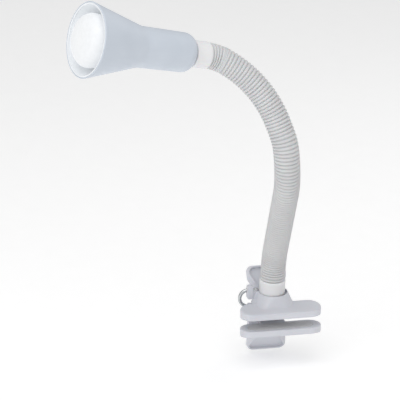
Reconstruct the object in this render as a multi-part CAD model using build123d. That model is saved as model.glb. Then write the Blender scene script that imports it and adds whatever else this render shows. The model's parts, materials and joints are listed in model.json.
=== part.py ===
"""Clip-on reading lamp: a wide spring clip, a flexible ribbed neck and a flared shade with a reflector lamp.

Millimetres, +Z up. The origin is the centre of the upper jaw's pad face, which lies on top of the shelf.
+X runs along the jaws, -Y points out over the shelf, and the clip's levers point to +Y.
The rest pose has the jaws open by the thickness of the shelf and the neck bent forwards and to the left.
"""

import os

from build123d import *

# --- clip ---------------------------------------------------------------------------------------------------
SHELF = 10.0             # thickness between the two pads in the rest pose
JAW_LENGTH = 81.5
JAW_DEPTH = 24.0
JAW_FRONT = 7.0          # height of a jaw's front wall above its pad face
JAW_BACK = 11.0          # height of a jaw's back edge above its pad face
JAW_SOFTEN = 1.4
PAD_PROUD = 0.5          # how far a pad stands out of its jaw
PAD_THICK = 1.5
PAD_LENGTH = 66.0
PAD_DEPTH = 15.0

CLIP_X = -4.3            # the middle plane of the hump, levers and hinge
HUMP_Y = 15.5
HUMP_WIDTH = 40.0
HUMP_DEPTH = 36.0
HUMP_BASE = 8.0          # height at which the hump starts to narrow towards the collar
HUMP_CORNER = 10.0
HUMP_WALL = 3.0
HUMP_CAVITY = 10.0       # height of the space for the cord under the hump, and half its width
HUMP_CAVITY_FRONT = 7.5  # Y at which that space starts
COLLAR_R = 14.7          # the hump's round rim
COLLAR_BORE = 13.9       # the hole that the base cuff stands in
COLLAR_ASIDE = 0.9       # how far the hole's centre is to the right of the cuff's
COLLAR_DEEP = 14.0       # from the rim to below the nut that holds the cuff
COLLAR_FLOOR = 4.0       # depth of the cuff's seat below the rim
COLLAR_WEB = 3.0         # thickness of the seat

HINGE_Y = 30.0
HINGE_Z = -SHELF / 2
PIN_R = 1.75
PIN_RUNNING = 0.05
KNUCKLE_R = 4.5
KNUCKLE_HALF = 12.6      # half the width of the lower jaw's knuckle
EAR_GAP = 0.4
EAR_THICK = 4.0
PIN_CLIP_R = 3.6
PIN_BORE_REACH = 30.0    # how far the pin's bore is cut to each side, beyond both ears
PIN_CLIP_THICK = 0.9

LEVER_ROOT = (31.0, 12.0)     # Y and Z of the middle of the lever's root
LEVER_TIP = (45.9, 38.0)
LEVER_X = -5.3                # their middle plane
LEVER_ROOT_HALF = 12.5        # half widths of the lever's back, at its root and from its shoulder to its tip
LEVER_TIP_HALF = 20.3
LEVER_SHOULDER = 0.55         # where the lever stops widening, as a share of its length
LEVER_THICK = 2.8
LEVER_RIDGE = 3.0             # height of the ridge round the finger hollow
RIDGE_ROOT_HALF = 7.0
RIDGE_TIP_HALF = 19.2
RIDGE_SHOULDER = 0.72
RIDGE_WIDTH = 1.8
LEVER_SUNK = 3.0              # how far the root runs on into the moulding
LEVER_CORNER = 6.5

SPRING_TAIL = -18.0      # X of the wire's inner end, inside the hump
SPRING_Y = 22.0
SPRING_Z = 13.0
SPRING_X = -28.2         # the middle of the wire loop
SPRING_R = 8.3
SPRING_WIRE_R = 1.8
LUG_LEFT = -29.4
LUG_RIGHT = -23.0
LUG_LOW = 12.2
LUG_HIGH = 26.5
LUG_DEPTH = 6.0
LUG_SOFTEN = 2.4
EAR_LEFT = -28.2
EAR_RIGHT = -25.0
EAR_SOFTEN = 2.8

GLAND_Z = 4.6
GLAND_R = 3.3
GLAND_BORE = 2.6
GLAND_FLANGE_R = 4.1

# --- neck ---------------------------------------------------------------------------------------------------
BASE_CUFF = 13.3                     # length of the base cuff above the collar
ROUTE = [                            # corners of the neck's centre line, from the base cuff to the head cuff
    (-4.3, 17.0, 33.5),
    (-3.9, 15.0, 55.0),
    (-11.0, -71.0, 164.0),
    (-15.0, -73.0, 201.0),
    (-36.5, -62.0, 260.5),
    (-78.8, -54.9, 282.9),
    (-87.6, -57.8, 285.2),
]
ROUTE_RADII = [56.0, 83.0, 63.0, 115.0, 34.0]
HOSE_R = 12.4
HOSE_WALL = 2.2
CORE_R = 5.0
CORE_BORE = 2.7
CABLE_R = 2.4

CUFF_R = 12.8
CUFF_WALL = 2.0
CUFF_FLOOR = 3.0
BASE_CUFF_SUNK = 3.6
HEAD_CUFF = 16.5
NIPPLE_R = 4.9
NUT_R = 7.6
NUT_THICK = 3.0
WASHER_R = 8.6
WASHER_THICK = 1.0

# --- head ---------------------------------------------------------------------------------------------------
SHADE_LENGTH = 113.0
SHADE_BODY = 54.7        # from the rear of the shade to its waist
SHADE_REAR_R = 18.6
SHADE_WAIST_R = 19.2
SHADE_MOUTH_R = 35.2
SHADE_SHOULDER = 11.0
SHADE_WALL = 1.0
SHADE_LIP = 2.6

HOLDER_R = 13.4
HOLDER_CAP = 28.4
HOLDER_BODY = 32.0
HOLDER_WALL = 2.0
CONTACT_BASE = 4.0
SHELL_R = 7.6
SHELL_WALL = 0.5
SHELL_LENGTH = 22.0

BULB_START = 38.0        # from the rear of the shade to the lamp's end contact
BULB_CAP_LENGTH = 24.0
BULB_CAP_R = 6.9
BULB_NECK_R = 9.5
BULB_R = 25.0
BULB_LENGTH = 82.5
BULB_NECK = 34.0         # from the end contact to where the neck starts to widen
BULB_DOME = 12.5         # from the widest ring to the middle of the face
BULB_WALL = 0.9


def at_point(shape, x, y, z):
    """Move a shape to a point."""
    return Pos(x, y, z) * shape


def aimed(shape, start, direction):
    """Place a shape drawn along +Z at a point, with its axis along a direction."""
    return Plane(origin=start, z_dir=direction).location * shape


def aimed_flat(shape, start, direction):
    """Place a shape drawn along +Z at a point, with its axis along a direction and its own X kept along X."""
    return Plane(origin=start, x_dir=(1, 0, 0), z_dir=direction).location * shape


def tube(outer, inner, low, high):
    """A round tube, or a rod where inner is zero, along +Z from low to high."""
    height = high - low
    body = Pos(0, 0, low) * Cylinder(outer, height, align=(Align.CENTER, Align.CENTER, Align.MIN))
    if inner > 0:
        bore = Cylinder(inner, height + 2, align=(Align.CENTER, Align.CENTER, Align.MIN))
        body -= Pos(0, 0, low - 1) * bore
    return body


def box_between(low, high):
    """A box given by its two opposite corners."""
    size = [b - a for a, b in zip(low, high)]
    middle = [(a + b) / 2 for a, b in zip(low, high)]
    return Pos(*middle) * Box(*size)


def along_x(radius, x_low, x_high, y, z):
    """A rod parallel to X."""
    rod = Cylinder(radius, x_high - x_low, rotation=(0, 90, 0))
    return Pos((x_low + x_high) / 2, y, z) * rod


def hexagon_nut(across_corners, bore, low, high):
    """A hexagon nut along +Z."""
    profile = RegularPolygon(across_corners, 6) - Circle(bore)
    return Pos(0, 0, low) * extrude(profile, amount=high - low)


def turned(points):
    """A solid of revolution about Z from the half outline's corner points (radius, height)."""
    outline = make_face(Polyline(*[(r, 0, z) for r, z in points], close=True))
    return revolve(outline, axis=Axis.Z)


# --- clip pieces --------------------------------------------------------------------------------------------
def jaw_bar():
    """A stadium-shaped bar with a deck that rises towards the back and a seat for the pad, pad face at Z = 0."""
    blank = extrude(SlotOverall(JAW_LENGTH, JAW_DEPTH), amount=JAW_BACK + 5)
    blank = Pos(0, 0, PAD_PROUD) * blank
    rise = (JAW_BACK - JAW_FRONT) / JAW_DEPTH
    half = JAW_DEPTH / 2 + 1
    deck = Polyline(
        (0, -half, JAW_FRONT - rise),
        (0, half, JAW_BACK + rise),
        (0, half, 40),
        (0, -half, 40),
        close=True,
    )
    waste = extrude(make_face(deck), amount=JAW_LENGTH, both=True)
    bar = blank - waste
    deck_edges = bar.faces().sort_by(Axis.Z)[-1].edges()
    bar = fillet(deck_edges, JAW_SOFTEN)
    seat = extrude(SlotOverall(PAD_LENGTH, PAD_DEPTH), amount=PAD_THICK)
    return bar - seat


def pad():
    """A rubber pad that fills the jaw's seat and stands a little proud of it."""
    return extrude(SlotOverall(PAD_LENGTH, PAD_DEPTH), amount=PAD_THICK)


def lever_outline(root, tip, shoulder, low, high):
    """A symmetrical outline that widens from root to shoulder and then runs straight to the tip."""
    points = [(-root, low), (root, low), (tip, shoulder), (tip, high), (-tip, high), (-tip, shoulder)]
    outline = make_face(Polyline(*points, close=True))
    return fillet(outline.vertices().sort_by(Axis.Y)[-2:], LEVER_CORNER)


def lever():
    """A finger lever that widens towards its tip, with a hollow in its outer face and a ridge round that."""
    root_y, root_z = LEVER_ROOT
    tip_y, tip_z = LEVER_TIP
    run = Vector(0, tip_y - root_y, tip_z - root_z)
    plane = Plane(origin=(LEVER_X, root_y, root_z), x_dir=(1, 0, 0), z_dir=Vector(1, 0, 0).cross(run))
    end = run.length
    flank = LEVER_TIP_HALF - RIDGE_TIP_HALF
    back = lever_outline(LEVER_ROOT_HALF, LEVER_TIP_HALF, end * LEVER_SHOULDER, -LEVER_SUNK, end)
    ridge = lever_outline(RIDGE_ROOT_HALF, RIDGE_TIP_HALF, end * RIDGE_SHOULDER, -LEVER_SUNK, end - flank)
    body = loft([back, Pos(0, 0, LEVER_THICK + LEVER_RIDGE) * ridge], ruled=True)
    hollow = offset(ridge, -RIDGE_WIDTH, kind=Kind.INTERSECTION)
    body -= Pos(0, 0, LEVER_THICK) * extrude(hollow, amount=LEVER_RIDGE + 1)
    return plane.location * body


def hinge_ears():
    """The two ears under the hump that carry the hinge pin."""
    ears = Part()
    inner = KNUCKLE_HALF + EAR_GAP
    for side in (-1, 1):
        near = CLIP_X + side * inner
        far = CLIP_X + side * (inner + EAR_THICK)
        low, high = min(near, far), max(near, far)
        cheek = box_between((low, HINGE_Y - KNUCKLE_R, HINGE_Z), (high, HINGE_Y + KNUCKLE_R - 1, HUMP_BASE + 2))
        ears += cheek + along_x(KNUCKLE_R, low, high, HINGE_Y, HINGE_Z)
    return ears


def hump():
    """The hump behind the jaw, which narrows from a rounded rectangle to the collar's round rim."""
    skirt_low = PAD_PROUD + 2
    footprint = RectangleRounded(HUMP_WIDTH, HUMP_DEPTH, HUMP_CORNER)
    skirt = Pos(CLIP_X, HUMP_Y, skirt_low) * extrude(footprint, amount=HUMP_BASE - skirt_low)
    rim = RectangleRounded(2 * COLLAR_R, 2 * COLLAR_R, COLLAR_R - 0.01)  # four arcs, one for each corner below
    rim_plane = Plane(origin=base_seat(), x_dir=(1, 0, 0), z_dir=base_axis())
    flare = loft([Pos(CLIP_X, HUMP_Y, HUMP_BASE) * footprint, rim_plane.location * Pos(COLLAR_ASIDE, 0, 0) * rim])
    return skirt + flare


def upper_jaw():
    """The upper moulding: jaw bar, hump with the neck's collar, lever, spring lug and hinge ears."""
    lug = box_between(
        (LUG_LEFT, SPRING_Y - LUG_DEPTH / 2, LUG_LOW),
        (LUG_RIGHT, SPRING_Y + LUG_DEPTH / 2, LUG_HIGH),
    )
    lug = fillet(lug.edges().filter_by(Axis.Y), LUG_SOFTEN)
    web = box_between(
        (LUG_RIGHT - 1, SPRING_Y - 2, LUG_LOW + 1),
        (CLIP_X - HUMP_CAVITY, SPRING_Y + 2, LUG_HIGH - 6),
    )
    body = jaw_bar() + hump() + lever() + hinge_ears() + lug + web
    body -= box_between(
        (CLIP_X - HUMP_CAVITY, HUMP_CAVITY_FRONT, -1),
        (CLIP_X + HUMP_CAVITY, HUMP_Y + HUMP_DEPTH / 2 - HUMP_WALL, HUMP_CAVITY),
    )
    for cut in (
        Pos(COLLAR_ASIDE, 0, 0) * tube(COLLAR_BORE, 0, -COLLAR_FLOOR, 5),
        tube(WASHER_R + 0.6, 0, -COLLAR_DEEP, -COLLAR_FLOOR - COLLAR_WEB),
        tube(NIPPLE_R, 0, -COLLAR_DEEP, 5),
    ):
        body -= aimed_flat(cut, base_seat(), base_axis())
    body -= along_x(PIN_R, CLIP_X - PIN_BORE_REACH, CLIP_X + PIN_BORE_REACH, HINGE_Y, HINGE_Z)
    body -= Pos(CLIP_X, HUMP_Y + HUMP_DEPTH / 2, GLAND_Z) * Cylinder(GLAND_R, 12, rotation=(90, 0, 0))
    body -= clip_spring()
    return body


def lower_jaw():
    """The lower moulding: jaw bar, hinge knuckle, lever and the ear that holds the spring's lower end."""
    mirror_plane = Plane(origin=(0, 0, HINGE_Z), z_dir=(0, 0, 1))
    bar = mirror(jaw_bar(), about=mirror_plane)
    low_lever = mirror(lever(), about=mirror_plane)
    left = CLIP_X - KNUCKLE_HALF
    right = CLIP_X + KNUCKLE_HALF
    deep = -SHELF - JAW_BACK + 0.6
    top = -SHELF - PAD_PROUD - 0.5
    web = box_between((left, PAD_DEPTH / 2 + 1, deep), (right, HINGE_Y + 2.5, top))
    root_z = 2 * HINGE_Z - LEVER_ROOT[1]
    tail = box_between((left, HINGE_Y - 2, root_z - 2), (right, HINGE_Y + 2.5, top))
    knuckle = along_x(KNUCKLE_R, left, right, HINGE_Y, HINGE_Z)
    neck = box_between((left, HINGE_Y - KNUCKLE_R, top - 1), (right, HINGE_Y + KNUCKLE_R - 2, HINGE_Z))
    arm = box_between((EAR_LEFT, SPRING_Y - 4, deep), (left + 1, SPRING_Y + 4, top))
    ear = box_between((EAR_LEFT, SPRING_Y - 3, deep), (EAR_RIGHT, SPRING_Y + 3, SPRING_Z - SPRING_R + 3))
    ear = fillet(ear.edges().filter_by(Axis.X).group_by(Axis.Z)[-1], EAR_SOFTEN)
    body = bar + low_lever + web + tail + knuckle + neck + arm + ear
    body -= along_x(PIN_R + PIN_RUNNING, left - 5, right + 5, HINGE_Y, HINGE_Z)
    body -= along_x(SPRING_WIRE_R + 0.3, EAR_LEFT - 5, EAR_RIGHT + 0.2, SPRING_Y, SPRING_Z - SPRING_R)
    return body


def clip_spring():
    """A bent steel wire: a C outside the clip, one end through the upper lug, the other in the lower ear."""
    top_z = SPRING_Z + SPRING_R
    low_z = SPRING_Z - SPRING_R
    loop = (
        Line((SPRING_TAIL, SPRING_Y, top_z), (SPRING_X, SPRING_Y, top_z))
        + ThreePointArc(
            (SPRING_X, SPRING_Y, top_z),
            (SPRING_X - SPRING_R, SPRING_Y, SPRING_Z),
            (SPRING_X, SPRING_Y, low_z),
        )
        + Line((SPRING_X, SPRING_Y, low_z), (EAR_RIGHT - 0.4, SPRING_Y, low_z))
    )
    start = Plane(origin=(SPRING_TAIL, SPRING_Y, top_z), z_dir=(-1, 0, 0))
    return sweep(start * Circle(SPRING_WIRE_R), path=loop)


def hinge_pin():
    """The steel pin, with a groove at each end for its clip."""
    half = KNUCKLE_HALF + EAR_GAP + EAR_THICK + 2.2
    pin = along_x(PIN_R, CLIP_X - half, CLIP_X + half, HINGE_Y, HINGE_Z)
    return chamfer(pin.edges().filter_by(GeomType.CIRCLE), 0.3)


def pin_clips():
    """Two spring clips that keep the pin in its ears."""
    face = KNUCKLE_HALF + EAR_GAP + EAR_THICK
    clips = []
    for low in (CLIP_X - face - PIN_CLIP_THICK, CLIP_X + face):
        ring = along_x(PIN_CLIP_R, low, low + PIN_CLIP_THICK, HINGE_Y, HINGE_Z)
        ring -= along_x(PIN_R, low - 1, low + 2, HINGE_Y, HINGE_Z)
        clips.append(ring)
    return Compound(children=clips)


def cord_gland():
    """The bush in the hump's rear wall that a mains cord comes in through."""
    wall = HUMP_WALL
    bush = tube(GLAND_R, GLAND_BORE, 0.0, wall) + tube(GLAND_FLANGE_R, GLAND_BORE, wall, wall + 1.6)
    rear = HUMP_Y + HUMP_DEPTH / 2 - HUMP_WALL
    return aimed(bush, (CLIP_X, rear, GLAND_Z), (0, 1, 0))


# --- neck pieces --------------------------------------------------------------------------------------------
def base_axis():
    """The direction in which the neck leaves the collar."""
    return (Vector(*ROUTE[1]) - Vector(*ROUTE[0])).normalized()


def base_seat():
    """The point on the neck's axis at the collar's rim."""
    return Vector(*ROUTE[0]) - base_axis() * BASE_CUFF


def route_edges():
    """The neck's centre line as run, bend, run, bend and so on."""
    line = FilletPolyline(*ROUTE, radius=ROUTE_RADII)
    return line.edges()


def swept(edges, outer, inner):
    """A tube along one edge or a chain of edges."""
    first = edges[0]
    plane = Plane(origin=first @ 0, z_dir=first % 0)
    ring = Circle(outer) - Circle(inner) if inner else Circle(outer)
    path = first if len(edges) == 1 else Wire(edges)
    return sweep(plane.location * ring, path=path)


def neck_stretches():
    """Name each stretch of the neck: links are rigid, and bends are where it flexes."""
    runs = route_edges()
    return {
        "link_0": [runs[0]],
        "bend_1": [runs[1]],
        "link_1": [runs[2]],
        "bend_2": [runs[3]],
        "link_2": [runs[4]],
        "bend_3": [runs[5]],
        "link_3": [runs[6], runs[7], runs[8]],
        "bend_4": [runs[9]],
        "link_4": [runs[10]],
    }


def cuff(length, sunk):
    """A smooth end sleeve along +Z, closed at its lower end round the nipple; the hose butts on its far end."""
    sleeve = tube(CUFF_R, NIPPLE_R, -sunk, length)
    sleeve -= tube(CUFF_R - CUFF_WALL, 0, -sunk + CUFF_FLOOR, length + 1)
    return chamfer(sleeve.edges().filter_by(GeomType.CIRCLE).sort_by(Axis.Z)[-1], 0.6)


# --- head pieces --------------------------------------------------------------------------------------------
def in_head(shape):
    """Place a shape drawn along +Z from the end of the hose into the head."""
    return aimed(shape, ROUTE[-1], Vector(*ROUTE[-1]) - Vector(*ROUTE[-2]))


def shade():
    """The spun shade: a round shoulder, a nearly straight body and a cone, open at the mouth."""
    rear = HEAD_CUFF
    waist = rear + SHADE_BODY
    mouth = rear + SHADE_LENGTH
    wall = SHADE_WALL
    shoulder = SHADE_SHOULDER

    def skin(inset):
        base = rear + inset
        corner = SHADE_REAR_R - inset
        bend = shoulder - inset
        return (
            Line((NIPPLE_R, base), (corner - bend, base))
            + CenterArc((corner - bend, base + bend), bend, -90, 90)
            + Line((corner, base + bend), (SHADE_WAIST_R - inset, waist))
            + Line((SHADE_WAIST_R - inset, waist), (SHADE_MOUTH_R - inset, mouth))
        )

    ends = Line((NIPPLE_R, rear), (NIPPLE_R, rear + wall)) + Line(
        (SHADE_MOUTH_R, mouth), (SHADE_MOUTH_R - wall, mouth)
    )
    section = make_face(skin(0) + skin(wall) + ends)
    body = revolve(Plane.XZ.location * section, axis=Axis.Z)
    lip = turned(
        [
            (SHADE_MOUTH_R - wall - 0.2, mouth - 1.2),
            (SHADE_MOUTH_R - wall + 0.2, mouth),
            (SHADE_MOUTH_R - SHADE_LIP, mouth),
            (SHADE_MOUTH_R - SHADE_LIP, mouth - 1.2),
        ]
    )
    return body + lip


def holder_parts():
    """The lampholder: rear cap, body, contact base, threaded shell, end contact and terminal screws."""
    rear = HEAD_CUFF + SHADE_WALL
    split = rear + HOLDER_CAP
    front = split + HOLDER_BODY
    inner = HOLDER_R - HOLDER_WALL
    floor = rear + HOLDER_WALL
    cap = turned(
        [
            (NIPPLE_R, rear),
            (7.4, rear),
            (HOLDER_R, rear + 5.8),
            (HOLDER_R, split),
            (inner, split),
            (inner, rear + 6.8),
            (NUT_R + 0.3, rear + 3.8),
            (NUT_R + 0.3, floor),
            (NIPPLE_R, floor),
        ]
    )
    body = tube(HOLDER_R, inner, split, front) + tube(inner, SHELL_R, front - 3.0, front)
    base = tube(inner, 0, split, split + CONTACT_BASE)
    shell_low = front - SHELL_LENGTH - 3.0
    shell = tube(SHELL_R, SHELL_R - SHELL_WALL, shell_low, front)
    foot = tube(inner, SHELL_R - SHELL_WALL, split + CONTACT_BASE, shell_low)
    contact_top = HEAD_CUFF + BULB_START - 0.1
    stalk = tube(2.2, 0, split + CONTACT_BASE, contact_top)
    screws = [
        at_point(tube(1.6, 0, split - 4.0, split) + tube(2.9, 0, split - 6.0, split - 4.0), x, 0, 0)
        for x in (-6.5, 6.5)
    ]
    return {
        "holder_cap": cap,
        "holder_body": body,
        "contact_base": base,
        "thread_shell": shell,
        "shell_foot": foot,
        "end_contact": stalk,
        "terminal_screws": Compound(children=screws),
    }


def bulb_parts():
    """The reflector lamp: screw cap, insulator, end contact, glass envelope, stem and filament."""
    start = HEAD_CUFF + BULB_START
    cap_top = start + BULB_CAP_LENGTH
    end = start + BULB_LENGTH
    tip = tube(2.4, 0, start, start + 1.4)
    insulator = turned([(0, start + 1.4), (2.4, start + 1.4), (5.4, start + 4.4), (0, start + 4.4)])
    cap = tube(BULB_CAP_R, BULB_CAP_R - 0.4, start + 4.4, cap_top)
    neck_top = start + BULB_NECK
    widest = end - BULB_DOME

    def envelope(inset):
        neck = BULB_NECK_R - inset
        wide = BULB_R - inset
        face = end - inset
        low = cap_top + inset
        outline = (
            Line((0, low), (neck, low))
            + Line((neck, low), (neck + 0.8, neck_top))
            + Spline((neck + 0.8, neck_top), (wide, widest), tangents=[(0.35, 1), (0, 1)])
            + Spline((wide, widest), (0, face), tangents=[(0, 1), (-1, 0)])
            + Line((0, face), (0, low))
        )
        return revolve(Plane.XZ.location * make_face(outline), axis=Axis.Z)

    glass = envelope(0) - envelope(BULB_WALL)
    stem = tube(3.0, 0, cap_top + BULB_WALL, cap_top + 22.0)
    wires = [at_point(tube(0.4, 0, cap_top + 22.0, cap_top + 34.0), x, 0, 0) for x in (-2.2, 2.2)]
    wires.append(Pos(0, 0, cap_top + 34.0) * Cylinder(0.5, 5.2, rotation=(0, 90, 0)))
    filament = wires[0] + wires[1] + wires[2]
    return {
        "bulb_contact": tip,
        "bulb_insulator": insulator,
        "bulb_cap": cap,
        "bulb_glass": glass,
        "bulb_stem": stem,
        "bulb_filament": filament,
    }


# --- assembly -----------------------------------------------------------------------------------------------
def build_nodes():
    """Every sub-part, by the name of its node."""
    up = base_axis()
    rim = base_seat()
    below = Plane(origin=(0, 0, HINGE_Z), z_dir=(0, 0, 1))
    seat = -COLLAR_FLOOR - COLLAR_WEB
    nodes = {
        "upper_jaw": upper_jaw(),
        "upper_pad": pad(),
        "lower_jaw": lower_jaw(),
        "lower_pad": mirror(pad(), about=below),
        "hinge_pin": hinge_pin(),
        "pin_clips": pin_clips(),
        "clip_spring": clip_spring(),
        "cord_gland": cord_gland(),
    }
    base_floor = -BASE_CUFF_SUNK + CUFF_FLOOR
    nodes["base_cuff"] = aimed(cuff(BASE_CUFF, BASE_CUFF_SUNK), rim, up)
    nodes["base_nipple"] = aimed(tube(NIPPLE_R, CORE_BORE, seat - 5.5, BASE_CUFF), rim, up)
    nodes["collar_washer"] = aimed(tube(WASHER_R, NIPPLE_R, seat - WASHER_THICK, seat), rim, up)
    nut_top = seat - WASHER_THICK
    nodes["collar_nut"] = aimed(hexagon_nut(NUT_R, NIPPLE_R, nut_top - NUT_THICK, nut_top), rim, up)
    nodes["cuff_nut"] = aimed(hexagon_nut(NUT_R, NIPPLE_R, base_floor, base_floor + NUT_THICK), rim, up)

    for name, edges in neck_stretches().items():
        nodes["hose_" + name] = swept(edges, HOSE_R, HOSE_R - HOSE_WALL)
        nodes["core_" + name] = swept(edges, CORE_R, CORE_BORE)
        nodes["cable_" + name] = swept(edges, CABLE_R, 0)

    head_cuff = mirror(cuff(HEAD_CUFF, 0), about=Plane(origin=(0, 0, HEAD_CUFF / 2), z_dir=(0, 0, 1)))
    nipple_top = HEAD_CUFF + SHADE_WALL + HOLDER_WALL + NUT_THICK + 2
    nut_low = HEAD_CUFF + SHADE_WALL + HOLDER_WALL
    nodes["head_cuff"] = in_head(head_cuff)
    nodes["head_nipple"] = in_head(tube(NIPPLE_R, CORE_BORE, 0.3, nipple_top))
    nodes["head_nut"] = in_head(hexagon_nut(NUT_R, NIPPLE_R, nut_low, nut_low + NUT_THICK))
    nodes["shade"] = in_head(shade())
    for name, shape in (holder_parts() | bulb_parts()).items():
        nodes[name] = in_head(shape)
    return nodes


os.makedirs("parts", exist_ok=True)
for node, shape in build_nodes().items():
    export_step(shape, f"parts/{node}.step")
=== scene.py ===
"""Looks of the clip-on reading lamp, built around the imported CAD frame. Metres, +Z up."""

import json
import math

import bmesh
import bpy
from mathutils import Matrix, Vector


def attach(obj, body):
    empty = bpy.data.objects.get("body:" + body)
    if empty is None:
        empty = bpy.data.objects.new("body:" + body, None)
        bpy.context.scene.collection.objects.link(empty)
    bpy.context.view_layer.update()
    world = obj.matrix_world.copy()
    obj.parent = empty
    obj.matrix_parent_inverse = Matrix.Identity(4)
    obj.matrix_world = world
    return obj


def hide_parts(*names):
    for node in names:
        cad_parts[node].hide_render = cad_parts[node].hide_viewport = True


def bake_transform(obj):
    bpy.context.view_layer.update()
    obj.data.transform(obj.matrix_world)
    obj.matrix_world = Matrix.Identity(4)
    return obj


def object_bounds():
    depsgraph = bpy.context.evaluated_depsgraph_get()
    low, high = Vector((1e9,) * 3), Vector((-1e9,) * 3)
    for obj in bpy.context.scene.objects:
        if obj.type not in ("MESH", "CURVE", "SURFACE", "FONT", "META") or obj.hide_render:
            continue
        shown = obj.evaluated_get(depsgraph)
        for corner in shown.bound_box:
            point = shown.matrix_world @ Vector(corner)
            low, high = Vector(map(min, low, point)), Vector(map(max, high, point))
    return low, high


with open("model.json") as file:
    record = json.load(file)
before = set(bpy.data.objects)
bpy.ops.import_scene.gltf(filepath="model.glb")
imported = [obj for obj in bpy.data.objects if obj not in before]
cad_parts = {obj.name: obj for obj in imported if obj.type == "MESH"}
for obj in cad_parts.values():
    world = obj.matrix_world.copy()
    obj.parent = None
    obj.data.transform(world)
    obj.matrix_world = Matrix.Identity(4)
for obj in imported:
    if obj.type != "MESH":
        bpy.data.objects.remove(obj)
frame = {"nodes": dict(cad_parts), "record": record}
CAD_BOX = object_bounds()

MM = 0.001
JOINTS = {joint["name"]: joint for joint in frame["record"]["behaviour"]["joints"]}

# Corners of the neck's centre line, from the base cuff to the head cuff, and the radii of its bends, in
# millimetres; both are the CAD part's own.
ROUTE = [
    (-4.3, 17.0, 33.5),
    (-3.9, 15.0, 55.0),
    (-11.0, -71.0, 164.0),
    (-15.0, -73.0, 201.0),
    (-36.5, -62.0, 260.5),
    (-78.8, -54.9, 282.9),
    (-87.6, -57.8, 285.2),
]
ROUTE_RADII = [56.0, 83.0, 63.0, 115.0, 34.0]
BASE_START = Vector(ROUTE[0]) * MM
BASE_AXIS = (Vector(ROUTE[1]) - Vector(ROUTE[0])).normalized()
HEAD_START = Vector(ROUTE[-1]) * MM
HEAD_AXIS = (Vector(ROUTE[-1]) - Vector(ROUTE[-2])).normalized()

# Distances along the head's axis from the end of the hose, and radii, in millimetres.
SHADE_REAR, SHADE_WAIST, SHADE_MOUTH = 16.5, 71.2, 129.5
REAR_R, WAIST_R, MOUTH_R = 18.6, 19.2, 35.2
SHADE_LIP = 2.6
LAMP_START = 54.5
LAMP_LENGTH = 82.5
LAMP_DOME = 12.5
LAMP_R = 25.0
GLOW_REACH = 34.0       # how far from the middle of its face the lit glass glows

HOSE_R = 12.4
RIB_PITCH = 3.4
RIB_DEPTH = 1.5
CORE_R = 5.0
CABLE_R = 2.4

CUFF_R = 12.8
BASE_CUFF = 13.3        # length of the base cuff above the collar
BASE_CUFF_SUNK = 3.6


# --- camera, light and floor --------------------------------------------------------------------------------
def turned_view(azimuth, elevation):
    """The unit vector from the object to a camera at that azimuth and elevation, in degrees."""
    a, e = math.radians(azimuth), math.radians(elevation)
    return Vector((math.sin(a) * math.cos(e), -math.cos(a) * math.cos(e), math.sin(e)))


CAMERA_AIM = Vector((-0.0685, 0.0600, 0.1057))
CAMERA_DISTANCE = 2.6
CAMERA_LENS = 236.4
LIT_POINT = Vector((-0.06, -0.04, 0.16))      # the middle of the lamp, which every light faces


def make_camera():
    """A long lens, a little to the left of the clip's front and above it."""
    back = turned_view(-12, 18)
    data = bpy.data.cameras.new("camera")
    data.sensor_width = 36.0
    data.lens = CAMERA_LENS
    data.clip_start = 0.05
    data.clip_end = 50.0
    camera = bpy.data.objects.new("camera", data)
    bpy.context.scene.collection.objects.link(camera)
    camera.location = CAMERA_AIM + back * CAMERA_DISTANCE
    camera.rotation_mode = "QUATERNION"
    camera.rotation_quaternion = (-back).to_track_quat("-Z", "Y")
    bpy.context.scene.camera = camera


def area_light(name, azimuth, elevation, distance, size, power):
    """A soft square light that faces the middle of the lamp."""
    data = bpy.data.lights.new(name, "AREA")
    data.size = size
    data.energy = power
    light = bpy.data.objects.new(name, data)
    bpy.context.scene.collection.objects.link(light)
    towards = turned_view(azimuth, elevation)
    light.location = LIT_POINT + towards * distance
    light.rotation_mode = "QUATERNION"
    light.rotation_quaternion = towards.to_track_quat("Z", "Y")


def make_lights():
    """An even surround, a broad light from above, a weaker one from the front left and a weak rim light."""
    world = bpy.data.worlds.new("studio")
    bpy.context.scene.world = world
    world.use_nodes = True
    background = world.node_tree.nodes["Background"]
    background.inputs["Color"].default_value = (1.0, 1.0, 1.0, 1.0)
    background.inputs["Strength"].default_value = 0.48
    area_light("top", -25, 62, 1.6, 1.6, 15.0)
    area_light("front", -50, 12, 1.6, 1.2, 3.0)
    area_light("rim", 118, 22, 1.3, 0.9, 1.5)
    bpy.context.scene.view_settings.view_transform = "Standard"


def make_floor(materials):
    """A plain pale floor just under the lower lever."""
    height = CAD_BOX[0].z - 0.004
    bpy.ops.mesh.primitive_plane_add(size=12.0, location=(0, 0, height))
    floor = bpy.context.object
    floor.name = "floor"
    floor.data.materials.append(materials["floor"])


# --- materials ----------------------------------------------------------------------------------------------
METAL_GRAIN = 900.0


def shader(name, roughness, metallic=0.0, **sockets):
    """A new material with a principled shader; sockets are its constant values."""
    material = bpy.data.materials.new(name)
    material.use_nodes = True
    bsdf = material.node_tree.nodes["Principled BSDF"]
    bsdf.inputs["Metallic"].default_value = metallic
    bsdf.inputs["Roughness"].default_value = roughness
    for socket, value in sockets.items():
        bsdf.inputs[socket.replace("_", " ")].default_value = value
    return material, bsdf


def noise(material, scale, detail=4.0):
    """Noise in the object's own space; returns its factor socket."""
    nodes, links = material.node_tree.nodes, material.node_tree.links
    place = nodes.new("ShaderNodeTexCoord")
    texture = nodes.new("ShaderNodeTexNoise")
    texture.inputs["Scale"].default_value = scale
    texture.inputs["Detail"].default_value = detail
    links.new(place.outputs["Object"], texture.inputs["Vector"])
    return texture.outputs["Fac"]


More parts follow.
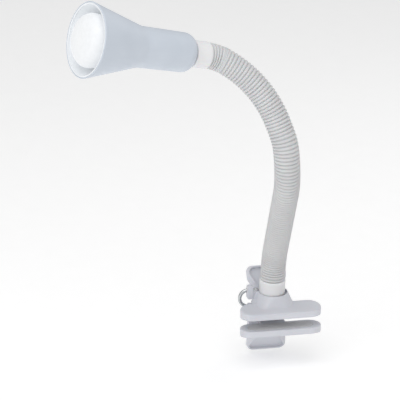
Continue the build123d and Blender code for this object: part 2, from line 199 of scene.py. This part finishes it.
def vary(material, bsdf, factor, socket, low, high):
    """Drive a shader socket between two values or colours by a factor."""
    nodes, links = material.node_tree.nodes, material.node_tree.links
    ramp = nodes.new("ShaderNodeValToRGB") if socket == "Base Color" else nodes.new("ShaderNodeMapRange")
    if socket == "Base Color":
        ramp.color_ramp.elements[0].position = 0.3
        ramp.color_ramp.elements[1].position = 0.7
        ramp.color_ramp.elements[0].color = (*low, 1)
        ramp.color_ramp.elements[1].color = (*high, 1)
        links.new(factor, ramp.inputs["Fac"])
        links.new(ramp.outputs["Color"], bsdf.inputs[socket])
    else:
        ramp.inputs["From Min"].default_value = 0.3
        ramp.inputs["From Max"].default_value = 0.7
        ramp.inputs["To Min"].default_value = low
        ramp.inputs["To Max"].default_value = high
        links.new(factor, ramp.inputs["Value"])
        links.new(ramp.outputs["Result"], bsdf.inputs[socket])


def bumpy(material, bsdf, factor, strength, distance):
    """Give the shader a fine bump from a factor."""
    nodes, links = material.node_tree.nodes, material.node_tree.links
    bump = nodes.new("ShaderNodeBump")
    bump.inputs["Strength"].default_value = strength
    bump.inputs["Distance"].default_value = distance
    links.new(factor, bump.inputs["Height"])
    links.new(bump.outputs["Normal"], bsdf.inputs["Normal"])


def moulded(name, dark, light, rough, grain, strength, **sockets):
    """Moulded plastic, enamel or rubber: slight shade variation, uneven gloss and a fine surface grain."""
    material, bsdf = shader(name, rough[0], **sockets)
    vary(material, bsdf, noise(material, 45.0, 3.0), "Base Color", dark, light)
    vary(material, bsdf, noise(material, 160.0, 5.0), "Roughness", rough[0], rough[1])
    bumpy(material, bsdf, noise(material, grain, 3.0), strength, 0.00006)
    return material


def drawn_metal(name, dark, light, rough):
    """Bright metal with a fine grain and a few duller patches."""
    material, bsdf = shader(name, rough[0], metallic=1.0)
    vary(material, bsdf, noise(material, 60.0, 4.0), "Base Color", dark, light)
    vary(material, bsdf, noise(material, METAL_GRAIN, 4.0), "Roughness", rough[0], rough[1])
    bumpy(material, bsdf, noise(material, METAL_GRAIN * 1.5, 2.0), 0.15, 0.00004)
    return material


def glowing_face(name):
    """Frosted lamp glass, lit from inside: brightest round the lamp's axis, dimmer towards the rim."""
    material, bsdf = shader(name, 0.45, Emission_Strength=0.42)
    nodes, links = material.node_tree.nodes, material.node_tree.links
    place = nodes.new("ShaderNodeTexCoord")
    centre = nodes.new("ShaderNodeVectorMath")
    centre.operation = "DISTANCE"
    centre.inputs[1].default_value = tuple(HEAD_START + HEAD_AXIS * (LAMP_START + LAMP_LENGTH) * MM)
    links.new(place.outputs["Object"], centre.inputs[0])
    glow = nodes.new("ShaderNodeValToRGB")
    stops = glow.color_ramp.elements
    stops[0].position, stops[0].color = 0.0, (1.0, 1.0, 1.0, 1)
    stops[1].position, stops[1].color = 1.0, (0.70, 0.72, 0.75, 1)
    middle = stops.new(0.6)
    middle.color = (0.94, 0.95, 0.97, 1)
    rim = stops.new(0.88)
    rim.color = (0.84, 0.86, 0.89, 1)
    reach = nodes.new("ShaderNodeMath")
    reach.operation = "DIVIDE"
    reach.inputs[1].default_value = GLOW_REACH * MM
    links.new(centre.outputs["Value"], reach.inputs[0])
    links.new(reach.outputs["Value"], glow.inputs["Fac"])
    links.new(glow.outputs["Color"], bsdf.inputs["Emission Color"])
    vary(material, bsdf, noise(material, 300.0), "Base Color", (0.46, 0.47, 0.48), (0.50, 0.51, 0.52))
    bumpy(material, bsdf, noise(material, 2500.0, 2.0), 0.2, 0.00003)
    return material


def make_materials():
    """Every material of the lamp and the floor, by name."""
    made = {
        "shade_enamel": moulded(
            "shade_enamel", (0.57, 0.62, 0.69), (0.60, 0.65, 0.72), (0.44, 0.52), 700.0, 0.03,
            Coat_Weight=0.12, Coat_Roughness=0.25,
        ),
        "shade_lining_painted_lamplight": moulded(
            "shade_lining_painted_lamplight", (0.74, 0.76, 0.78), (0.78, 0.80, 0.82), (0.50, 0.60), 900.0, 0.05,
            # the faint glow is painted light: it stands in for the lamp's light falling on the inside of the
            # shade
            Emission_Color=(0.94, 0.97, 1, 1), Emission_Strength=0.13,
        ),
        "hose_plastic": moulded(
            "hose_plastic", (0.61, 0.615, 0.625), (0.65, 0.655, 0.66), (0.42, 0.55), 1400.0, 0.12,
            Subsurface_Weight=0.08, Subsurface_Scale=0.002,
        ),
        "cuff_plastic": moulded(
            "cuff_plastic", (0.79, 0.79, 0.80), (0.83, 0.83, 0.835), (0.38, 0.50), 1100.0, 0.10,
            Subsurface_Weight=0.08, Subsurface_Scale=0.002,
        ),
        "clip_plastic": moulded(
            "clip_plastic", (0.62, 0.63, 0.68), (0.66, 0.67, 0.72), (0.30, 0.42), 1000.0, 0.10,
            Subsurface_Weight=0.05, Subsurface_Scale=0.002,
        ),
        "pad_rubber": moulded(
            "pad_rubber", (0.60, 0.60, 0.61), (0.66, 0.66, 0.67), (0.75, 0.90), 1600.0, 0.4,
        ),
        "holder_plastic": moulded(
            "holder_plastic", (0.80, 0.79, 0.77), (0.85, 0.84, 0.82), (0.45, 0.6), 900.0, 0.1,
        ),
        "holder_ceramic": moulded(
            "holder_ceramic", (0.80, 0.78, 0.74), (0.86, 0.84, 0.80), (0.6, 0.8), 1500.0, 0.3,
        ),
        "cable_pvc": moulded(
            "cable_pvc", (0.74, 0.74, 0.74), (0.80, 0.80, 0.80), (0.5, 0.6), 1200.0, 0.15,
        ),
        "lamp_insulator": moulded(
            "lamp_insulator", (0.02, 0.02, 0.02), (0.05, 0.05, 0.06), (0.1, 0.2), 600.0, 0.1,
        ),
        "spring_steel": drawn_metal("spring_steel", (0.52, 0.54, 0.55), (0.68, 0.69, 0.70), (0.16, 0.30)),
        "zinc_steel": drawn_metal("zinc_steel", (0.55, 0.55, 0.52), (0.68, 0.68, 0.66), (0.30, 0.45)),
        "neck_steel": drawn_metal("neck_steel", (0.42, 0.42, 0.43), (0.56, 0.56, 0.57), (0.30, 0.45)),
        "contact_brass": drawn_metal("contact_brass", (0.66, 0.50, 0.24), (0.78, 0.62, 0.34), (0.25, 0.40)),
        "lamp_cap": drawn_metal("lamp_cap", (0.66, 0.66, 0.66), (0.80, 0.80, 0.80), (0.22, 0.35)),
        "lamp_mirror": drawn_metal("lamp_mirror", (0.78, 0.79, 0.80), (0.88, 0.89, 0.90), (0.12, 0.22)),
        "lamp_glass": glowing_face("lamp_glass"),
        "floor": moulded(
            "floor", (0.80, 0.80, 0.80), (0.82, 0.82, 0.82), (0.7, 0.8), 90.0, 0.02,
            Emission_Color=(1, 1, 1, 1), Emission_Strength=0.34,
        ),
    }
    return made


# --- mesh helpers -------------------------------------------------------------------------------------------
def new_piece(name, bm, material, sharp=40):
    """Turn a bmesh into a smooth-shaded object, with edges sharper than an angle kept crisp."""
    mesh = bpy.data.meshes.new(name)
    bmesh.ops.recalc_face_normals(bm, faces=bm.faces)
    bm.to_mesh(mesh)
    bm.free()
    mesh.shade_smooth()
    mesh.set_sharp_from_angle(angle=math.radians(sharp))
    for one in material if isinstance(material, (list, tuple)) else [material]:
        mesh.materials.append(one)
    piece = bpy.data.objects.new(name, mesh)
    bpy.context.scene.collection.objects.link(piece)
    return piece


def loft(bm, rings, closed=True):
    """Join rings of points with quads; a closed loft also joins the last ring to the first."""
    rows = [[bm.verts.new(point) for point in ring] for ring in rings]
    count = len(rows[0])
    pairs = list(zip(rows, rows[1:])) + ([(rows[-1], rows[0])] if closed else [])
    for low, high in pairs:
        for i in range(count):
            j = (i + 1) % count
            bm.faces.new((low[i], low[j], high[j], high[i]))
    return rows


def cap(bm, row):
    """Close a ring of vertices with one face."""
    bm.faces.new(row)


def axes_across(direction):
    """Two unit vectors that are square to a direction and to each other."""
    side = direction.orthogonal().normalized()
    return side, direction.cross(side)


def lathe(name, outline, origin, axis, material, segments=96, closed=True):
    """Turn an outline of (radius, height) in millimetres round an axis; an open outline ends on the axis."""
    side, other = axes_across(axis)
    bm = bmesh.new()
    rings = []
    for radius, height in outline:
        centre = origin + axis * height * MM
        ring = []
        for i in range(segments):
            turn = 2 * math.pi * i / segments
            ring.append(centre + (side * math.cos(turn) + other * math.sin(turn)) * radius * MM)
        rings.append(ring)
    rows = loft(bm, rings, closed)
    if not closed:
        cap(bm, rows[0])
        cap(bm, rows[-1])
    return new_piece(name, bm, material)


def arc(centre, radius, start, stop, steps):
    """Points on an arc in the outline's plane, from one angle to another in degrees."""
    points = []
    for i in range(steps + 1):
        angle = math.radians(start + (stop - start) * i / steps)
        points.append((centre[0] + radius * math.cos(angle), centre[1] + radius * math.sin(angle)))
    return points


def route_points(corners, radii, spacing):
    """Even points along straight runs that are joined by round bends."""
    knots = [Vector(p) for p in corners]
    dense = [knots[0]]
    for before, corner, after, radius in zip(knots, knots[1:], knots[2:], radii):
        back = (before - corner).normalized()
        ahead = (after - corner).normalized()
        half = back.angle(ahead) / 2
        centre = corner + (back + ahead).normalized() * (radius / math.sin(half))
        spoke = corner + back * (radius / math.tan(half)) - centre
        axis = spoke.cross(-back)
        for k in range(BEND_STEPS + 1):
            turn = (math.pi - 2 * half) * k / BEND_STEPS
            dense.append(centre + Matrix.Rotation(turn, 3, axis) @ spoke)
    dense.append(knots[-1])
    lengths = [0.0]
    for a, b in zip(dense, dense[1:]):
        lengths.append(lengths[-1] + (b - a).length)
    count = round(lengths[-1] / spacing)
    out, index = [], 0
    for k in range(count + 1):
        want = lengths[-1] * k / count
        while index < len(dense) - 2 and lengths[index + 1] < want:
            index += 1
        share = (want - lengths[index]) / (lengths[index + 1] - lengths[index])
        out.append(dense[index].lerp(dense[index + 1], share))
    return out


def frames_along(points):
    """A side vector at each point, carried along the line without twist."""
    last = len(points) - 1
    tangents = [(points[min(i + 1, last)] - points[max(i - 1, 0)]).normalized() for i in range(last + 1)]
    side = tangents[0].orthogonal().normalized()
    frames = []
    for tangent in tangents:
        side = (side - tangent * side.dot(tangent)).normalized()
        frames.append((tangent, side, tangent.cross(side)))
    return frames


def pipe(name, points, radius_at, material, segments=48, inner=None):
    """A tube or rod in millimetres along points; radius_at gives the radius of each point by its index."""
    frames = frames_along(points)
    bm = bmesh.new()

    def ring(i, radius):
        _, side, other = frames[i]
        spokes = [2 * math.pi * k / segments for k in range(segments)]
        return [(points[i] + (side * math.cos(a) + other * math.sin(a)) * radius) * MM for a in spokes]

    rings = [ring(i, radius_at(i)) for i in range(len(points))]
    if inner is None:
        rows = loft(bm, rings, closed=False)
        cap(bm, rows[0])
        cap(bm, rows[-1])
    else:
        rings += [ring(i, inner) for i in reversed(range(0, len(points), 3))]
        loft(bm, rings, closed=True)
    return new_piece(name, bm, material, sharp=75)


# --- neck ---------------------------------------------------------------------------------------------------
BEND_STEPS = 60      # straight steps in one bend, before the points are spread evenly
RINGS_PER_RIB = 8
RIB_SHAPE = [1.0, 0.72, 0.18, 0.03, 0.0, 0.03, 0.18, 0.72]    # depth of the groove through one rib


def make_neck(materials):
    """The ribbed sleeve, the wound core and the cable, each split into one piece per bend."""
    points = route_points(ROUTE, ROUTE_RADII, RIB_PITCH / RINGS_PER_RIB)
    bends = [
        ("neck_lean", "clip", "neck_1", "link_0", "bend_1"),
        ("neck_sway", "neck_1", "neck_2", "link_1", "bend_2"),
        ("neck_bow", "neck_2", "neck_3", "link_2", "bend_3"),
        ("head_turn", "neck_3", "head", "link_3", "bend_4"),
    ]
    pivots = []
    for joint, *_ in bends:
        pivot = Vector(JOINTS[joint]["pos_m"]) / MM
        pivots.append(min(range(len(points)), key=lambda i: (points[i] - pivot).length))
    cuts = [0]
    for a, b in zip(pivots, pivots[1:]):
        cuts.append(round((a + b) / 2 / RINGS_PER_RIB) * RINGS_PER_RIB)
    cuts.append(len(points) - 1)
    def rib_radius(i):
        return HOSE_R - RIB_DEPTH * RIB_SHAPE[i % RINGS_PER_RIB]

    for k, (joint, near, far, link, bend) in enumerate(bends):
        low, high = cuts[k], cuts[k + 1]
        stretch = points[low : high + 1]
        last = ["link_4"] if k == 3 else []
        sleeve = pipe(
            f"hose_sleeve_{k + 1}", stretch, lambda i, low=low: rib_radius(i + low),
            materials["hose_plastic"], segments=64, inner=HOSE_R - 2.0,
        )
        core = pipe(
            f"gooseneck_core_{k + 1}", stretch, lambda i: CORE_R - (0.35 if i % 6 == 0 else 0.0),
            materials["neck_steel"], segments=24, inner=CORE_R - 2.2,
        )
        cable = pipe(
            f"neck_cable_{k + 1}", stretch[::4] + stretch[-1:], lambda i: CABLE_R,
            materials["cable_pvc"], segments=16,
        )
        for piece, stem, slot in (
            (sleeve, "hose", "hose_plastic"),
            (core, "core", "neck_steel"),
            (cable, "cable", "cable_pvc"),
        ):
            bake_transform(piece)
            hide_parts(*[f"{stem}_{part}" for part in [link, bend] + last])


def make_cuffs(materials):
    """The smooth sleeves at the hose's two ends, with rounded rims and a shallow bead."""
    radius, wall, floor, bore = CUFF_R, 2.0, 3.0, 5.0

    def outline(length, low):
        soft = 0.9
        return (
            [(bore, low), (radius - soft, low)]
            + arc((radius - soft, low + soft), soft, -90, 0, 5)[1:]
            + [(radius, length - 3.2), (radius + 0.12, length - 2.9), (radius + 0.12, length - 1.6)]
            + arc((radius - soft + 0.1, length - soft), soft, 0, 90, 5)
            + [(radius - wall + 0.2, length), (radius - wall, length - 0.3)]
            + [(radius - wall, low + floor), (bore, low + floor)]
        )

    base = lathe(
        "base_cuff_sleeve", outline(BASE_CUFF, -BASE_CUFF_SUNK),
        BASE_START - BASE_AXIS * BASE_CUFF * MM, BASE_AXIS,
        materials["cuff_plastic"],
    )
    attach(base, "clip")
    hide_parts("base_cuff")
    head = lathe(
        "head_cuff_sleeve", outline(SHADE_REAR, 0.0), HEAD_START + HEAD_AXIS * SHADE_REAR * MM, -HEAD_AXIS,
        materials["cuff_plastic"],
    )
    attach(head, "head")
    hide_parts("head_cuff")


# --- head ---------------------------------------------------------------------------------------------------
def make_shade(materials):
    """The spun shade: shoulder, straight body, cone and rolled lip, enamelled outside and lined white; the
    lining glows faintly, which paints the lamp's light on the shade's inside.
    """
    rear, waist, mouth = SHADE_REAR, SHADE_WAIST, SHADE_MOUTH
    rear_r, waist_r, mouth_r, wall = REAR_R, WAIST_R, MOUTH_R, 1.0
    shoulder = 11.0
    slope = math.degrees(math.atan2(mouth_r - waist_r, mouth - waist))
    sweep = 22.0

    def skin(inset):
        corner = rear_r - inset
        bend = shoulder - inset
        curve = arc((waist_r + sweep, waist), sweep + inset, 180, 180 - slope, 10)
        return (
            [(5.0, rear + inset)]
            + arc((corner - bend, rear + inset + bend), bend, -90, 0, 14)
            + [(corner + 0.2, rear + shoulder + 16), (waist_r - inset - 0.05, waist - 4.0)]
            + curve
        )

    outer = skin(0.0)
    inner = skin(wall)
    lip = 0.75
    rim = arc((mouth_r - lip, mouth - lip), lip, -20, 200, 14)
    underside = [(r - 0.45, z) for r, z in reversed(outer[1:])]
    sheet = outer + rim + [(mouth_r - wall - 0.1, mouth - 1.4)] + underside + [(5.0, rear + 0.5)]
    outside = lathe("shade_outer", sheet, HEAD_START, HEAD_AXIS, materials["shade_enamel"], segments=160)
    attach(outside, "head")
    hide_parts("shade")
    flange = mouth_r - SHADE_LIP
    edge = [(mouth_r - wall, mouth - 0.3), (flange, mouth - 0.3), (flange, mouth - 1.1)]
    edge.append((mouth_r - wall - 0.7, mouth - 1.3))
    coat = [(5.0, rear + 0.55)] + [(r + 0.35, z) for r, z in inner[1:]] + edge + inner[::-1]
    # the white lining, lip flange included, glows faintly: painted light from the lamp on the shade's inside
    lining = lathe("shade_lining_painted_lamplight", coat, HEAD_START, HEAD_AXIS, materials["shade_lining_painted_lamplight"], segments=160)
    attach(lining, "head")


def make_lamp(materials):
    """The reflector lamp: a silvered bulb with a domed frosted face; its threaded cap stays the CAD piece."""
    start = LAMP_START
    cap_top = start + 24.0
    neck_top = start + 34.0
    neck_r = 10.3
    end = start + LAMP_LENGTH
    widest = end - LAMP_DOME
    skin = [(9.5, cap_top), (9.7, cap_top + 6.0)]
    for i in range(13):
        u = i / 12
        swell = math.sin(u * math.pi / 2) ** 1.05
        skin.append((neck_r + (LAMP_R - neck_r) * swell, neck_top + (widest - neck_top) * u**0.94))
    for i in range(1, 16):
        turn = math.pi / 2 * i / 16
        skin.append((LAMP_R * math.cos(turn) ** 0.62, widest + LAMP_DOME * math.sin(turn)))
    mirror_end = 10         # the ring at which the silvering stops
    silvered = skin[: mirror_end + 1]
    envelope = lathe(
        "lamp_reflector", silvered + [(r - 0.6, z) for r, z in reversed(silvered)], HEAD_START, HEAD_AXIS,
        materials["lamp_mirror"], segments=128,
    )
    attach(envelope, "head")
    front = lathe(
        "lamp_face", skin[mirror_end:] + [(0.4, end)], HEAD_START, HEAD_AXIS, materials["lamp_glass"],
        segments=128, closed=False,
    )
    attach(front, "head")
    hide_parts("bulb_glass")


# --- clip ---------------------------------------------------------------------------------------------------
def softened(name, node, material, voxel=0.42, passes=10):
    """A copy of a moulded CAD node with its edges and inner corners rounded, as a moulding's are."""
    source = frame["nodes"][node]
    mesh = source.data.copy()
    bm = bmesh.new()
    bm.from_mesh(mesh)
    bmesh.ops.remove_doubles(bm, verts=bm.verts, dist=1e-6)
    bm.to_mesh(mesh)
    bm.free()
    piece = bpy.data.objects.new(name, mesh)
    bpy.context.scene.collection.objects.link(piece)
    remesh = piece.modifiers.new("remesh", "REMESH")
    remesh.mode = "VOXEL"
    remesh.voxel_size = voxel * MM
    smooth = piece.modifiers.new("smooth", "SMOOTH")
    smooth.factor = 0.5
    smooth.iterations = passes
    graph = bpy.context.evaluated_depsgraph_get()
    final = bpy.data.meshes.new_from_object(piece.evaluated_get(graph))
    piece.modifiers.clear()
    piece.data = final
    final.shade_smooth()
    final.materials.clear()
    final.materials.append(material)
    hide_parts(node)
    return piece


def make_clip(materials):
    """The two jaw mouldings."""
    for name, node, body in (
        ("upper_moulding", "upper_jaw", "clip"),
        ("lower_moulding", "lower_jaw", "lower_jaw"),
    ):
        piece = softened(name, node, materials["clip_plastic"])
        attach(piece, body)


def make_spring(materials):
    """The bent steel wire that joins the two jaws."""
    x_tail, x_loop, x_ear = -18.0, -28.2, -25.4
    y, z, radius, wire = 22.0, 13.0, 8.3, 1.8
    path = [Vector((x_tail - i * 1.0, y, z + radius)) for i in range(10)]
    for i in range(37):
        turn = math.radians(90 + 180 * i / 36)
        path.append(Vector((x_loop + radius * math.cos(turn), y, z + radius * math.sin(turn))))
    path += [Vector((x_loop + i, y, z - radius)) for i in range(1, 3)] + [Vector((x_ear, y, z - radius))]
    count = len(path)

    def wire_radius(i):
        return wire - (0.35 if i in (0, count - 1) else 0.0)

    piece = pipe("spring_wire", path, wire_radius, materials["spring_steel"], segments=32)
    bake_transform(piece)
    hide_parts("clip_spring")


# --- carried-over pieces ------------------------------------------------------------------------------------
CAD_LOOKS = {
    "upper_pad": "pad_rubber",
    "lower_pad": "pad_rubber",
    "hinge_pin": "spring_steel",
    "pin_clips": "spring_steel",
    "cord_gland": "cuff_plastic",
    "base_nipple": "zinc_steel",
    "head_nipple": "zinc_steel",
    "collar_washer": "zinc_steel",
    "collar_nut": "zinc_steel",
    "cuff_nut": "zinc_steel",
    "head_nut": "zinc_steel",
    "terminal_screws": "zinc_steel",
    "holder_cap": "holder_plastic",
    "holder_body": "holder_plastic",
    "shell_foot": "holder_plastic",
    "contact_base": "holder_ceramic",
    "thread_shell": "contact_brass",
    "end_contact": "contact_brass",
    "bulb_contact": "lamp_cap",
    "bulb_cap": "lamp_cap",
    "bulb_insulator": "lamp_insulator",
    "bulb_stem": "lamp_mirror",
    "bulb_filament": "neck_steel",
}


def dress_cad(materials):
    """Give the CAD pieces that stay their finished materials."""
    for node, look in CAD_LOOKS.items():
        piece = frame["nodes"][node]
        for slot in piece.material_slots:
            slot.material = materials[look]


make_camera()
make_lights()
MATERIALS = make_materials()
make_floor(MATERIALS)
make_neck(MATERIALS)
make_cuffs(MATERIALS)
make_shade(MATERIALS)
make_lamp(MATERIALS)
make_clip(MATERIALS)
make_spring(MATERIALS)
dress_cad(MATERIALS)
